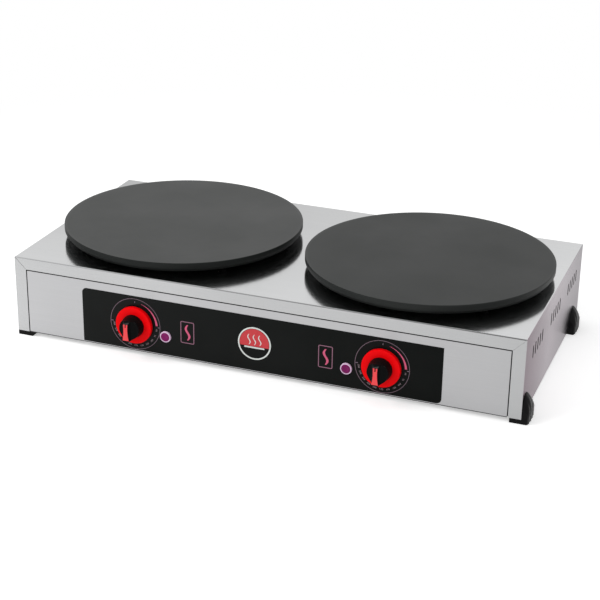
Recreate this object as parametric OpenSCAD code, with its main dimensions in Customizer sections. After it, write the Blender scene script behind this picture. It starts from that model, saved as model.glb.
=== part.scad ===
// Double electric crepe maker. A folded stainless steel cabinet carries two round cast
// iron griddle plates. Each plate has its own heating element, thermostat, knob and
// pilot lamp. Millimetres, +Z up. The origin is the bottom centre of the whole machine,
// and the control panel faces -Y.

/* [Cabinet] */
// Width of the steel cabinet
body_w = 845; // [840:1:880]
// Depth of the steel cabinet
body_d = 415; // [410:1:450]
// Height of the steel cabinet, without its feet
body_h = 130; // [125:1:145]
// Thickness of the sheet steel
sheet_t = 1.2; // [1:0.1:1.5]
// Width of the folded flange round the front and the back opening
flange_w = 20; // [18:1:24]
// Gap between the front flange and the raised field of the front panel
panel_gap = 1.8; // [1:0.1:2.2]
// Outside radius of the folded edges
fold_r = 1.8; // [1.6:0.1:2.4]

/* [Griddle plates] */
// Radius of a griddle plate
plate_r = 200; // [190:1:205]
// Thickness of a griddle plate at its rim
plate_t = 15.6; // [14:0.2:18]
// Distance between the centres of the two plates
plate_pitch = 430; // [425:1:440]
// Height of a plate's underside above the cabinet's top
plate_gap = 7.9; // [7.5:0.1:12]
// Radius of the opening in the cabinet's top below each plate
top_hole_r = 153; // [153:0.5:154]

/* [Controls] */
// Distance between the two knobs' centres
dial_pitch = 413; // [400:1:420]
// How far the pair of knobs sits right of the cabinet's middle
dial_shift = -1.3; // [-3:0.1:3]
// Height of the knobs' centres above the cabinet's bottom
dial_z = 47.2; // [46:0.1:52]
// Radius of the red disc behind a knob
skirt_r = 31; // [30:0.5:34]
// How far a knob stands out from the label
knob_h = 36; // [34:0.5:40]
// Radius of a knob's round body where it meets the disc
knob_r = 19; // [18:0.5:20]
// Distance between the two pilot lamps' centres
lamp_pitch = 303; // [290:1:306]
// How far the pair of lamps sits right of the cabinet's middle
lamp_shift = -3; // [-4:0.5:4]
// Height of the pilot lamps' centres above the cabinet's bottom
lamp_z = 34.5; // [30:0.5:40]
// Outside radius of a pilot lamp's bezel
lamp_r = 9.3; // [9:0.1:10]

/* [Control label] */
// Width of the black label on the front panel
label_w = 601; // [580:0.5:620]
// How far the label sits right of the cabinet's middle
label_shift = -0.7; // [-3:0.1:3]
// Height of the label's lower edge above the cabinet's bottom
label_z = 2.4; // [2:0.1:6]
// Height of the label
label_h = 92.8; // [86:0.1:96]
// Thickness of the label
label_t = 0.4; // [0.3:0.1:0.6]

/* [Feet] */
// Thickness of a foot's sole below the cabinet
sole_h = 7.5; // [5:0.5:10]
// Length of a foot, front to back
foot_len = 42; // [40:1:60]
// How far the rear feet sit in front of the cabinet's rear face
foot_inset = 27; // [10:1:40]
// How far a right-hand foot stands out from the cabinet's side
foot_proud = 12; // [10:0.5:16]
// Height of a right-hand foot's shield above the ground
shield_h = 42; // [36:0.5:46]

/* [Rear] */
// Position of the cable gland from the cabinet's middle
gland_x = 330; // [300:1:350]
// Height of the cable gland above the cabinet's bottom
gland_z = 34; // [30:1:50]
// Radius of the cable entry
cable_r = 4.6; // [4:0.1:5]

/* [Hidden] */
$fn = 48;

steel = "#C9CBCD";
dark_iron = "#4A4D4B";
black = "#1A1A1C";
zinc = "#A9ACB0";
brass = "#B8963C";
white_ceramic = "#E6E2D6";

// Levels above the ground
body_z = sole_h;
top_z = body_z + body_h;
plate_z = top_z + plate_gap;

// The cabinet's faces, from its own middle
half_w = body_w / 2;
front_y = -body_d / 2;
rear_y = body_d / 2;

// Screws: shank radius, clearance hole radius, head radius and head height
m3 = [1.5, 1.7, 2.8, 1.8];
m4 = [2, 2.25, 4, 2.4];
m5 = [2.5, 2.75, 4.5, 2.6];
m6 = [3, 3.25, 5, 4];
m8 = [4, 4.3, 6.5, 5];
thread_slack = 0.05;

// Front panel
field_half_w = half_w - flange_w - panel_gap;
field_top_z = top_z - flange_w - panel_gap;
panel_lap = 3;
fit_gap = 0.3;
bottom_return = 15;
panel_return = 20;
panel_back_y = front_y + sheet_t;
label_y = front_y - label_t;

// Griddle plate and heater, from the plate's own centre
recess_r = 158;
recess_h = 4.6;
boss_r = 16;
quarter_a = [45:90:315];
standoff_ring_r = 171;
standoff_r = 6.5;
blind_h = 10;
web_z = plate_z + recess_h;
ring_r = [140, 85];
tube_r = 4;
tube_flat = 3.4;
element_z = web_z - tube_flat;
end_angle = 10;
pin_r = 3.5;
pin_low_z = top_z - 39;
pin_hole_r = 6;
clamp_t = 3;
clamp_w = 25;
clamp_z = element_z - tube_flat - clamp_t;
stud_low_z = top_z - 7;
pan_r = 152;
pan_t = 1.2;
pan_low_z = top_z - 24.2;
pan_flange_r = 162;
pan_wall_top_z = top_z + 11;
pan_screw_r = 157.5;
wool_h = 14;
wool_r = 149;
bulb_y = -112;
bulb_l = 90;
bulb_r = 3;
capillary_r = 1;
capillary_x = 55;
capillary_hole_r = 3;

// Knob, measured from the label's face along the knob's axis
skirt_back = 1.5;
skirt_front = 8.2;
skirt_web = 2.5;
skirt_wall = 3;
hub_r = 15;
hub_back = 3.4;
knob_body_h = 24;
bar_r = 17;
bar_waist = 3.5;
bar_scoop_r = 85;
bar_waist_up = 4;
pointer_t = 0.8;
shaft_r = 3;
shaft_slack = 0.05;
shaft_reach = 18;
shaft_depth = 12;

// Thermostat behind the panel
stat_w = 38;
stat_h = 36;
stat_d = 28;
stat_plate = [46, 40, 1.5];
stat_screw_x = 14;
stat_tab_x = 9;
stat_tab = [1, 7, 6];
bush_r = 4.5;
bush_reach = 3;
bush_hole_r = 5.2;

// Pilot lamp
lens_r = 7.4;
lamp_proud = 3.2;
lamp_barrel_r = 6.8;
lamp_hole_r = 7.1;
lamp_barrel_l = 26;

// Cable gland, from the rear face outwards
gland_r = 8;
gland_flange_r = 12;
gland_flange_h = 6;
gland_reach = 24;
gland_inside = 12;
earth_x = 270;
earth_reach = 17;
earth_nut_h = 4;
earth_shank_r = 2.6;

// Terminal block and wiring
block_x = 340;
block_y = rear_y - 62;
block_size = [54, 26, 20];
block_base_z = body_z + 2 * sheet_t;
pole_pitch = 12.6;
pole_screw_y = 7;
pole_screw_z = 12;
wire_r = 1.6;
wire_z = body_z + 96;

// The whole machine's box is centred on the origin, feet, knobs and gland included
knob_reach = knob_h + label_t;
body_x = -foot_proud / 2;
body_y = (knob_reach - gland_reach) / 2;

// Side vents: three groups of five upright slots
slot_w = 6;
slot_h = 21;
slot_pitch = 16;
slot_mid_z = body_z + 89;
slot_groups = [-124, 4, 132];

// Rear vents: three groups of nine slots, and the base's vents below each heater
rear_vent_x = [-215, 0, 170];
rear_vent = [4, 29];
base_vent = [5, 120];

// Screw places
foot_start_y = [front_y, rear_y - foot_inset - foot_len];
foot_screw_y = [10, foot_len - 10];
foot_screw_in = 9;
base_screw_x = [-300, -100, 100, 300];
base_screw_in = 12;
rear_screw_x = [-360, -120, 120, 360];

module place() {
    translate([body_x, body_y, 0]) children();
}

module at_plate(side) {
    place() translate([side * plate_pitch / 2, 0, 0]) children();
}

// Places of the knobs and the lamps along the panel, for side -1 or 1
function dial_x(side) = side * dial_pitch / 2 + dial_shift;
function lamp_x(side) = side * lamp_pitch / 2 + lamp_shift;

// Turns a shape drawn along +Z so that it stands out of the front panel
module at_dial(side, y = label_y) {
    place() translate([dial_x(side), y, body_z + dial_z]) rotate([90, 0, 0]) children();
}

module at_lamp(side, y = label_y) {
    place() translate([lamp_x(side), y, body_z + lamp_z]) rotate([90, 0, 0]) children();
}

// Turns a shape drawn along +Z so that it stands out of the rear panel
module at_rear(x, z, y = rear_y - sheet_t) {
    place() translate([x, y, body_z + z]) rotate([-90, 0, 0]) children();
}

// Four upright cylinders on a ring, one in each quarter
module four_round(ring, r, h) {
    for (a = quarter_a) rotate(a) translate([ring, 0, 0]) cylinder(r = r, h = h);
}

module box(low, high) {
    translate(low) cube(high - low);
}

module rounded_rect(w, h, r) {
    square([w - 2 * r, h], center = true);
    square([w, h - 2 * r], center = true);
    for (x = [-1, 1], y = [-1, 1])
        translate([x * (w / 2 - r), y * (h / 2 - r)]) circle(r);
}

module slot_2d(w, h) {
    square([w, h - w], center = true);
    for (y = [-1, 1]) translate([0, y * (h - w) / 2]) circle(w / 2);
}

// A screw with its head's underside at z = 0, its shank up to l and its head below
module screw(size, l) {
    cylinder(r = size[0], h = l);
    translate([0, 0, -size[3]]) difference() {
        union() {
            cylinder(r = size[2], h = size[3] * 0.7);
            cylinder(r = size[2] * 0.86, h = size[3]);
            cylinder(r = size[0], h = size[3] + 1);
        }
        translate([-size[2] * 0.6, -0.4, -1]) cube([size[2] * 1.2, 0.8, 1 + size[3] * 0.35]);
        translate([-0.4, -size[2] * 0.6, -1]) cube([0.8, size[2] * 1.2, 1 + size[3] * 0.35]);
    }
}

module hex_nut(hole_r, across_r, h) {
    difference() {
        cylinder(r = across_r, h = h, $fn = 6);
        translate([0, 0, -1]) cylinder(r = hole_r, h = h + 2);
    }
}

// A round wire swept along a list of points, with eight flat sides
function unit(v) = v / norm(v);
function along(p, i) = unit(p[min(i + 1, len(p) - 1)] - p[max(i - 1, 0)]);
function side_of(t) = unit(cross(t, abs(t[2]) > 0.9 ? [0, 1, 0] : [0, 0, 1]));

module wire(p, r, n = 8) {
    rings = [for (i = [0:len(p) - 1]) let(t = along(p, i), u = side_of(t), v = cross(t, u))
        for (k = [0:n - 1]) p[i] + r * (cos(360 * k / n) * u + sin(360 * k / n) * v)];
    last = (len(p) - 1) * n;
    polyhedron(points = rings, faces = concat(
        [[for (k = [0:n - 1]) k]],
        [[for (k = [n - 1:-1:0]) last + k]],
        [for (i = [0:len(p) - 2], k = [0:n - 1]) let(a = i * n, m = (k + 1) % n)
            [a + k, a + n + k, a + n + m, a + m]]), convexity = 6);
}

// ---- Cabinet ----

module cabinet_blank() {
    intersection() {
        translate([0, 0, body_z + body_h / 2]) rotate([90, 0, 0]) linear_extrude(body_d, center = true) {
            rounded_rect(body_w, body_h, fold_r);
            translate([-half_w, -body_h / 2]) square([body_w, body_h / 2]);
        }
        translate([-half_w, 0, body_z + body_h / 2]) rotate([90, 0, 90]) linear_extrude(body_w) {
            rounded_rect(body_d, body_h, fold_r);
            translate([-body_d / 2, -body_h / 2]) square([body_d, body_h / 2]);
        }
    }
}

module vent_slots(x) {
    for (g = slot_groups, i = [-2:2])
        translate([x, g + i * slot_pitch, slot_mid_z]) rotate([90, 0, 90])
            linear_extrude(4 * sheet_t, center = true) slot_2d(slot_w, slot_h);
}

// The seam where the top flange meets a side flange, closed by a weld at its inner end
module mitre_seam(side, y) {
    seam_w = 0.5;
    weld_l = 1;
    seam_l = flange_w * sqrt(2) - weld_l;
    translate([side * half_w, y, top_z]) rotate([0, side * 45, 0])
        translate([-seam_w / 2, -sheet_t / 2, -seam_l]) cube([seam_w, sheet_t, seam_l + 1]);
}

module casing() {
    color(steel) place() difference() {
        cabinet_blank();
        // inside, and the front and back openings inside the flanges
        box([-half_w + sheet_t, front_y + sheet_t, body_z + sheet_t],
            [half_w - sheet_t, rear_y - sheet_t, top_z - sheet_t]);
        box([-half_w + flange_w, front_y - 1, body_z - 1],
            [half_w - flange_w, rear_y + 1, top_z - flange_w]);
        // open bottom, with a return along each side for the base plate
        box([-half_w + bottom_return + sheet_t, front_y + sheet_t, body_z - 1],
            [half_w - bottom_return - sheet_t, rear_y - sheet_t, body_z + 2 * sheet_t]);
        for (side = [-1, 1]) {
            vent_slots(side * half_w);
            for (y = [front_y, rear_y]) mitre_seam(side, y);
            translate([side * plate_pitch / 2, 0, top_z - 2 * sheet_t]) {
                cylinder(r = top_hole_r, h = 3 * sheet_t);
                four_round(standoff_ring_r, m6[1], 3 * sheet_t);
                four_round(pan_screw_r, m3[1], 3 * sheet_t);
            }
            for (y0 = foot_start_y, dy = foot_screw_y)
                translate([side * (half_w - foot_screw_in), y0 + dy, body_z - 1])
                    cylinder(r = m5[1], h = 3 * sheet_t);
        }
        for (x = rear_screw_x)
            translate([x, rear_y + 1, top_z - flange_w / 2]) rotate([90, 0, 0])
                cylinder(r = m4[1], h = sheet_t + 2);
    }
}

module front_panel() {
    color(steel) place() difference() {
        union() {
            // raised field, flush with the flange round it
            box([-field_half_w, front_y, body_z], [field_half_w, front_y + sheet_t, field_top_z]);
            // rim behind the flange
            difference() {
                box([-half_w + sheet_t + fit_gap, front_y + sheet_t, body_z + sheet_t + fit_gap],
                    [half_w - sheet_t - fit_gap, front_y + 2 * sheet_t, top_z - sheet_t - fit_gap]);
                box([-field_half_w + panel_lap, front_y, body_z],
                    [field_half_w - panel_lap, front_y + 3 * sheet_t, field_top_z - panel_lap]);
            }
            // bottom return, which carries the base plate
            box([-field_half_w, front_y, body_z],
                [field_half_w, front_y + panel_return, body_z + sheet_t]);
        }
        for (side = [-1, 1]) {
            translate([dial_x(side), front_y - 1, body_z + dial_z]) rotate([-90, 0, 0]) {
                cylinder(r = bush_hole_r, h = sheet_t + 2);
                for (x = [-1, 1]) translate([x * stat_screw_x, 0, 0]) cylinder(r = m4[1], h = sheet_t + 2);
            }
            translate([lamp_x(side), front_y - 1, body_z + lamp_z]) rotate([-90, 0, 0])
                cylinder(r = lamp_hole_r, h = sheet_t + 2);
        }
        for (x = base_screw_x)
            translate([x, front_y + base_screw_in, body_z - 1]) cylinder(r = m4[1], h = sheet_t + 2);
    }
}

// Black overlay: its upper left and lower right corners are round, the others square
module control_label() {
    corner_r = 8;
    color(black) place() translate([label_shift, front_y, body_z + label_z + label_h / 2]) rotate([90, 0, 0])
        linear_extrude(label_t) difference() {
            union() {
                rounded_rect(label_w, label_h, corner_r);
                square([label_w / 2, label_h / 2]);
                translate([-label_w / 2, -label_h / 2]) square([label_w / 2, label_h / 2]);
            }
            for (side = [-1, 1]) {
                translate([dial_x(side) - label_shift, dial_z - label_z - label_h / 2]) {
                    circle(bush_hole_r + 0.8);
                    for (x = [-1, 1]) translate([x * stat_screw_x, 0]) circle(m4[2] + 0.5);
                }
                translate([lamp_x(side) - label_shift, lamp_z - label_z - label_h / 2]) circle(lamp_hole_r);
            }
        }
}

module rear_panel() {
    inner_y = rear_y - 2 * sheet_t;
    low_half_w = half_w - flange_w;
    color(steel) place() difference() {
        union() {
            box([-half_w + sheet_t + fit_gap, inner_y, body_z + sheet_t + fit_gap],
                [half_w - sheet_t - fit_gap, inner_y + sheet_t, top_z - sheet_t - fit_gap]);
            box([-low_half_w, inner_y, body_z], [low_half_w, inner_y + sheet_t, body_z + flange_w]);
            box([-low_half_w, inner_y - panel_return, body_z],
                [low_half_w, inner_y + sheet_t, body_z + sheet_t]);
        }
        translate([gland_x, rear_y + 1, body_z + gland_z]) rotate([90, 0, 0])
            cylinder(r = gland_r + 0.2, h = 4 * sheet_t);
        translate([earth_x, rear_y + 1, body_z + gland_z]) rotate([90, 0, 0])
            cylinder(r = m6[1], h = 4 * sheet_t);
        for (x = rear_screw_x)
            translate([x, rear_y + 1, top_z - flange_w / 2]) rotate([90, 0, 0])
                cylinder(r = m4[0] + thread_slack, h = 4 * sheet_t);
        for (x = base_screw_x)
            translate([x, inner_y - base_screw_in, body_z - 1]) cylinder(r = m4[1], h = sheet_t + 2);
        for (x = rear_vent_x, i = [-4:4])
            translate([x + i * slot_pitch, inner_y + sheet_t / 2, slot_mid_z - slot_h / 2])
                rotate([90, 0, 0]) linear_extrude(3 * sheet_t, center = true)
                    slot_2d(rear_vent[0], rear_vent[1]);
    }
}

module base_plate() {
    low_z = body_z + sheet_t;
    color(zinc) place() difference() {
        box([-half_w + sheet_t + fit_gap, front_y + 2 * sheet_t + fit_gap, low_z],
            [half_w - sheet_t - fit_gap, rear_y - 2 * sheet_t - fit_gap, low_z + sheet_t]);
        for (side = [-1, 1], y0 = foot_start_y, dy = foot_screw_y)
            translate([side * (half_w - foot_screw_in), y0 + dy, body_z])
                cylinder(r = m5[0] + thread_slack, h = 4 * sheet_t);
        for (x = base_screw_x, y = [front_y + base_screw_in, rear_y - 2 * sheet_t - base_screw_in])
            translate([x, y, body_z]) cylinder(r = m4[0] + thread_slack, h = 4 * sheet_t);
        for (side = [-1, 1], i = [-3:3])
            translate([side * plate_pitch / 2, i * 2 * slot_pitch, body_z]) rotate([0, 0, 90])
                linear_extrude(4 * sheet_t) slot_2d(base_vent[0], base_vent[1]);
    }
}

// Folded channel that stiffens the top between the plates
module centre_rib() {
    rib_w = 44;
    rib_h = 24;
    lip = 12;
    rib_half_l = rear_y - 3 * sheet_t - panel_lap;
    under_z = top_z - sheet_t;
    color(zinc) place() {
        for (side = [-1, 1]) {
            box([side * rib_w / 2 - sheet_t / 2, -rib_half_l, under_z - rib_h],
                [side * rib_w / 2 + sheet_t / 2, rib_half_l, under_z]);
            box([side * (rib_w + lip) / 2 - lip / 2, -rib_half_l, under_z - sheet_t],
                [side * (rib_w + lip) / 2 + lip / 2, rib_half_l, under_z]);
        }
        box([-rib_w / 2, -rib_half_l, under_z - rib_h], [rib_w / 2, rib_half_l, under_z - rib_h + sheet_t]);
    }
}

// ---- Feet ----

module foot_holes(x) {
    for (dy = foot_screw_y) translate([x, dy, -1]) {
        cylinder(r = m5[1], h = sole_h + 2);
        cylinder(r = m5[2] + 0.4, h = 1 + sole_h - 1.6);
    }
}

// A pad flush with the cabinet's left side, undercut along its inner edge
module pad_foot(y0) {
    pad_w = 33;
    undercut = [7.5, 4];
    color(black) place() translate([-half_w, y0, 0]) difference() {
        translate([0, foot_len, 0]) rotate([90, 0, 0]) linear_extrude(foot_len) polygon([
            [0, 0], [pad_w - undercut[0], 0], [pad_w - undercut[0] / 3, undercut[1]],
            [pad_w, sole_h], [0, sole_h]]);
        foot_holes(foot_screw_in);
    }
}

// A foot with a sole below the cabinet and a domed shield against its right side
module shield_foot(y0) {
    sole_in = 18;
    edge_r = 1;
    out = foot_proud - edge_r;
    back = -edge_r;
    crest = shield_h - edge_r;
    half_l = foot_len / 2;
    half_face = 0.24 * foot_len;
    half_end = half_l - edge_r;
    corners = [
        [back, half_end, edge_r], [out - 1.6, half_end, edge_r], [out, half_face, edge_r],
        [back, half_end, 0.56 * crest], [out - 2.2, half_end, 0.34 * crest],
        [out, half_face, 0.5 * crest], [back, 0.62 * half_l, 0.84 * crest],
        [out - 2.6, 0.3 * half_l, 0.8 * crest], [back, 0.14 * half_l, crest], [2, 0.14 * half_l, crest]];
    color(black) place() translate([half_w, y0, 0]) {
        difference() {
            hull() for (p = corners, end = [-1, 1])
                translate([p[0], half_l + end * p[1], p[2]]) sphere(edge_r, $fn = 12);
            box([-5, -5, -1], [0, foot_len + 5, shield_h + 5]);
        }
        difference() {
            box([-sole_in, 0, 0], [0, foot_len, sole_h]);
            foot_holes(-foot_screw_in);
        }
    }
}

module foot_front_left() { pad_foot(foot_start_y[0]); }
module foot_rear_left() { pad_foot(foot_start_y[1]); }
module foot_front_right() { shield_foot(foot_start_y[0]); }
module foot_rear_right() { shield_foot(foot_start_y[1]); }

// ---- Fasteners ----

module foot_screws() {
    color(zinc) place() for (side = [-1, 1], y0 = foot_start_y, dy = foot_screw_y)
        translate([side * (half_w - foot_screw_in), y0 + dy, sole_h - 1.6]) screw(m5, 7);
}

module base_screws() {
    color(zinc) place() for (x = base_screw_x,
            y = [front_y + base_screw_in, rear_y - 2 * sheet_t - base_screw_in])
        translate([x, y, body_z]) screw(m4, 6);
}

module rear_panel_screws() {
    color(zinc) place() for (x = rear_screw_x)
        translate([x, rear_y, top_z - flange_w / 2]) rotate([90, 0, 0]) screw(m4, 6);
}

// ---- Griddle plates and heaters ----

module griddle_plate(side) {
    bevel = 1.2;
    under_r = 6;
    color(dark_iron) at_plate(side) translate([0, 0, plate_z]) difference() {
        rotate_extrude($fn = 96) difference() {
            polygon([[0, 0], [plate_r, 0], [plate_r, plate_t - bevel],
                [plate_r - bevel, plate_t], [0, plate_t]]);
            // rounded lower edge
            translate([plate_r - under_r, under_r]) difference() {
                translate([0, -under_r - 1]) square(under_r + 1);
                circle(under_r);
            }
            translate([boss_r, -1]) square([recess_r - boss_r, recess_h + 1]);
        }
        translate([0, 0, -1]) four_round(standoff_ring_r, m6[0] + thread_slack, blind_h + 1);
        translate([0, 0, -1]) cylinder(r = m8[0] + thread_slack, h = blind_h + 1);
    }
}

module plate_standoffs() {
    color(black) for (side = [-1, 1]) at_plate(side) translate([0, 0, top_z]) difference() {
        four_round(standoff_ring_r, standoff_r, plate_gap);
        translate([0, 0, -1]) four_round(standoff_ring_r, m6[1], plate_gap + 2);
    }
}

module plate_bolts() {
    color(zinc) for (side = [-1, 1]) at_plate(side) for (a = quarter_a) rotate(a)
        translate([standoff_ring_r, 0, top_z - sheet_t]) screw(m6, sheet_t + plate_gap + blind_h - 1);
}

// Flattened tube section of the heating element
module tube_2d() {
    intersection() {
        circle(tube_r);
        square([2 * tube_r + 1, 2 * tube_flat], center = true);
    }
}

// Two open rings joined at one end, with a cold pin down from each free end
module heating_element(side) {
    color("#6B5B53") at_plate(side) translate([0, 0, element_z]) {
        for (r = ring_r) rotate([0, 0, 90 + end_angle])
            rotate_extrude(angle = 360 - 2 * end_angle) translate([r, 0]) tube_2d();
        rotate(90 + end_angle) translate([ring_r[1], 0, 0]) rotate([90, 0, 90])
            linear_extrude(ring_r[0] - ring_r[1]) tube_2d();
        for (r = ring_r) {
            rotate(90 + end_angle) translate([r, 0, -tube_flat]) cylinder(r = tube_r, h = 2 * tube_flat);
            rotate(90 - end_angle) translate([r, 0, -tube_flat]) cylinder(r = tube_r, h = 2 * tube_flat);
            rotate(90 - end_angle) translate([r, 0, pin_low_z - element_z])
                cylinder(r = pin_r, h = element_z - pin_low_z);
        }
    }
}

// Crossed bars that hold the element against the plate
module element_clamp(side) {
    clamp_l = 2 * (ring_r[0] + 8);
    color(zinc) at_plate(side) translate([0, 0, clamp_z]) difference() {
        for (a = [45, 135]) rotate(a) translate([-clamp_l / 2, -clamp_w / 2, 0])
            cube([clamp_l, clamp_w, clamp_t]);
        translate([0, 0, -1]) cylinder(r = m8[1], h = clamp_t + 2);
    }
}

module clamp_studs() {
    color(zinc) for (side = [-1, 1]) at_plate(side) translate([0, 0, stud_low_z])
        cylinder(r = m8[0], h = plate_z + blind_h - 1 - stud_low_z);
}

module clamp_nuts() {
    nut_h = 6.5;
    color(zinc) for (side = [-1, 1]) at_plate(side) translate([0, 0, clamp_z - nut_h])
        hex_nut(m8[0] + thread_slack, 7.5, nut_h);
}

// Holes for the element's pins and the sensor's capillary
module heater_passages(low_z, h) {
    for (r = ring_r) rotate(90 - end_angle) translate([r, 0, low_z]) cylinder(r = pin_hole_r, h = h);
    translate([capillary_x, bulb_y, low_z]) cylinder(r = capillary_hole_r, h = h);
}

module insulation(side) {
    wool_z = pan_low_z + pan_t;
    color(white_ceramic) at_plate(side) difference() {
        translate([0, 0, wool_z]) cylinder(r = wool_r, h = wool_h);
        heater_passages(wool_z - 1, wool_h + 2);
    }
}

// Dished pan below the element, hung by its flange in the top's opening
module heat_shield(side) {
    color(black) at_plate(side) difference() {
        union() {
            translate([0, 0, pan_low_z]) cylinder(r = pan_r, h = pan_wall_top_z - pan_low_z, $fn = 96);
            translate([0, 0, top_z]) cylinder(r = pan_flange_r, h = pan_t, $fn = 96);
        }
        translate([0, 0, pan_low_z + pan_t])
            cylinder(r = pan_r - pan_t, h = pan_wall_top_z - pan_low_z, $fn = 96);
        heater_passages(pan_low_z - 1, pan_t + 2);
        translate([0, 0, top_z - 1]) four_round(pan_screw_r, m3[1], pan_t + 2);
    }
}

module shield_screws() {
    color(zinc) for (side = [-1, 1]) at_plate(side) for (a = quarter_a) rotate(a)
        translate([pan_screw_r, 0, top_z + pan_t]) rotate([180, 0, 0]) screw(m3, 5);
}

// Thermostat bulb below the plate, with its capillary down to the thermostat
module sensor(side) {
    bulb_z = web_z - bulb_r - fit_gap;
    run = [for (t = [0:15:90]) [capillary_x - 8 + 8 * sin(t), bulb_y, bulb_z - 8 + 8 * cos(t)]];
    low = [capillary_x, bulb_y, pan_low_z - 12];
    stat_x = dial_x(side) - side * plate_pitch / 2 + 10;
    stat_top = [stat_x, panel_back_y + 16, body_z + dial_z + stat_h / 2 + 0.2];
    sweep = [for (t = [0:10]) let(s = t / 10, e = s * s * (3 - 2 * s))
        [low[0] + (stat_top[0] - low[0]) * e, low[1] + (stat_top[1] - low[1]) * e,
            low[2] + (stat_top[2] - low[2]) * s]];
    color(brass) at_plate(side) {
        translate([-bulb_l / 2, bulb_y, bulb_z]) rotate([0, 90, 0]) cylinder(r = bulb_r, h = bulb_l - 2);
        wire(concat([[bulb_l / 2 - 4, bulb_y, bulb_z]], run, sweep), capillary_r);
    }
}

// ---- Controls ----

module thermostat(side) {
    color(brass) place() translate([dial_x(side), panel_back_y, body_z + dial_z]) difference() {
        union() {
            translate([-stat_plate[0] / 2, 0, -stat_plate[1] / 2])
                cube([stat_plate[0], stat_plate[2], stat_plate[1]]);
            translate([-stat_w / 2, stat_plate[2], -stat_h / 2]) cube([stat_w, stat_d, stat_h]);
            translate([0, -sheet_t - bush_reach, 0]) rotate([-90, 0, 0])
                cylinder(r = bush_r, h = sheet_t + bush_reach + 1);
            for (x = [-1, 1]) translate([x * stat_tab_x, stat_plate[2] + stat_d, -stat_tab[2]])
                cube(stat_tab);
        }
        translate([0, -10, 0]) rotate([-90, 0, 0])
            cylinder(r = shaft_r + shaft_slack, h = 10 + shaft_depth + 0.5);
        for (x = [-1, 1]) translate([x * stat_screw_x, -1, 0]) rotate([-90, 0, 0])
            cylinder(r = m4[0] + thread_slack, h = 8);
    }
}

module thermostat_screws() {
    color(zinc) for (side = [-1, 1]) at_dial(side, front_y) for (x = [-1, 1])
        translate([x * stat_screw_x, 0, 0]) rotate([180, 0, 0]) screw(m4, 6);
}

module thermostat_shaft(side) {
    flat = 0.9;
    color(zinc) at_dial(side) difference() {
        translate([0, 0, -label_t - sheet_t - shaft_depth])
            cylinder(r = shaft_r, h = shaft_reach + label_t + sheet_t + shaft_depth);
        translate([shaft_r - flat, -5, hub_back]) cube([5, 10, shaft_reach]);
    }
}

// Outline of the knob's grip: a waisted bar that flares towards its lower end
module grip_2d(inset) {
    difference() {
        circle(bar_r - inset);
        for (x = [-1, 1])
            translate([x * (bar_scoop_r + bar_waist - inset), bar_waist_up]) circle(bar_scoop_r, $fn = 96);
    }
}

module knob(side) {
    bar_top = knob_h - pointer_t;
    chamfer_y = 13.6;
    body_l = knob_body_h - skirt_front;
    color(black) at_dial(side) difference() {
        union() {
            translate([0, 0, hub_back]) cylinder(r = hub_r, h = skirt_front - hub_back);
            translate([0, 0, skirt_front]) rotate_extrude() polygon([[0, 0], [knob_r, 0],
                [knob_r, 4], [bar_r, body_l - 1], [bar_r - 1, body_l], [0, body_l]]);
            translate([0, 0, knob_body_h - 1]) linear_extrude(bar_top - knob_body_h + 1) grip_2d(0);
        }
        translate([0, 0, hub_back - 1]) cylinder(r = shaft_r + shaft_slack, h = shaft_reach - hub_back + 1.5);
        translate([-bar_r, chamfer_y, bar_top]) rotate([-61, 0, 0]) cube([2 * bar_r, bar_r, bar_r]);
    }
}

// Red disc round the knob: a shallow cap with a bevelled edge
module knob_skirt(side) {
    bevel = 1;
    wall_z = skirt_front - skirt_web;
    color("#E0101C") at_dial(side) rotate_extrude($fn = 72) polygon([
        [hub_r + 0.1, wall_z], [skirt_r - skirt_wall, wall_z], [skirt_r - skirt_wall, skirt_back],
        [skirt_r, skirt_back], [skirt_r, skirt_front - bevel], [skirt_r - bevel, skirt_front],
        [hub_r + 0.1, skirt_front]]);
}

module knob_pointer(side) {
    pointer_low = 16.4;
    pointer_high = 13.2;
    color("#E8505A") at_dial(side) translate([0, 0, knob_h - pointer_t]) linear_extrude(pointer_t)
        intersection() {
            grip_2d(0.3);
            translate([-bar_r, -pointer_low]) square([2 * bar_r, pointer_low + pointer_high]);
        }
}

module lamp_bezel(side) {
    color("#E9D9E4") at_lamp(side) rotate_extrude() difference() {
        union() {
            square([lamp_r, lamp_proud - 1]);
            translate([0, lamp_proud - 1]) square([lamp_r - 1, 1]);
            translate([lamp_r - 1, lamp_proud - 1]) circle(1);
        }
        square([lens_r + 0.1, 2 * lamp_proud]);
    }
}

module lamp_lens(side) {
    rib_n = 12;
    color("#8A1060") at_lamp(side) difference() {
        union() {
            cylinder(r = lens_r, h = lamp_proud - 0.6);
            translate([0, 0, lamp_proud - 0.6]) cylinder(r1 = lens_r, r2 = lens_r - 2, h = 1.2);
        }
        for (i = [0:rib_n - 1]) rotate(i * 360 / rib_n) translate([4, -0.25, lamp_proud + 0.2])
            cube([5, 0.5, 2]);
    }
}

// Barrel of the lamp, with its two tabs behind the panel
module lamp_holder(side) {
    color(white_ceramic) at_lamp(side) {
        translate([0, 0, -label_t - sheet_t - lamp_barrel_l])
            cylinder(r = lamp_barrel_r, h = lamp_barrel_l + sheet_t + label_t);
        for (x = [-1, 1]) translate([x * 3 - 0.4, -2.4, -label_t - sheet_t - lamp_barrel_l - 8])
            cube([0.8, 4.8, 8.5]);
    }
}

module lamp_nuts() {
    color(zinc) for (side = [-1, 1]) at_lamp(side) translate([0, 0, -label_t - sheet_t - 2])
        difference() {
            cylinder(r = 10.5, h = 2);
            translate([0, 0, -1]) cylinder(r = lamp_barrel_r + thread_slack, h = 4);
        }
}

// ---- Supply ----

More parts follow.
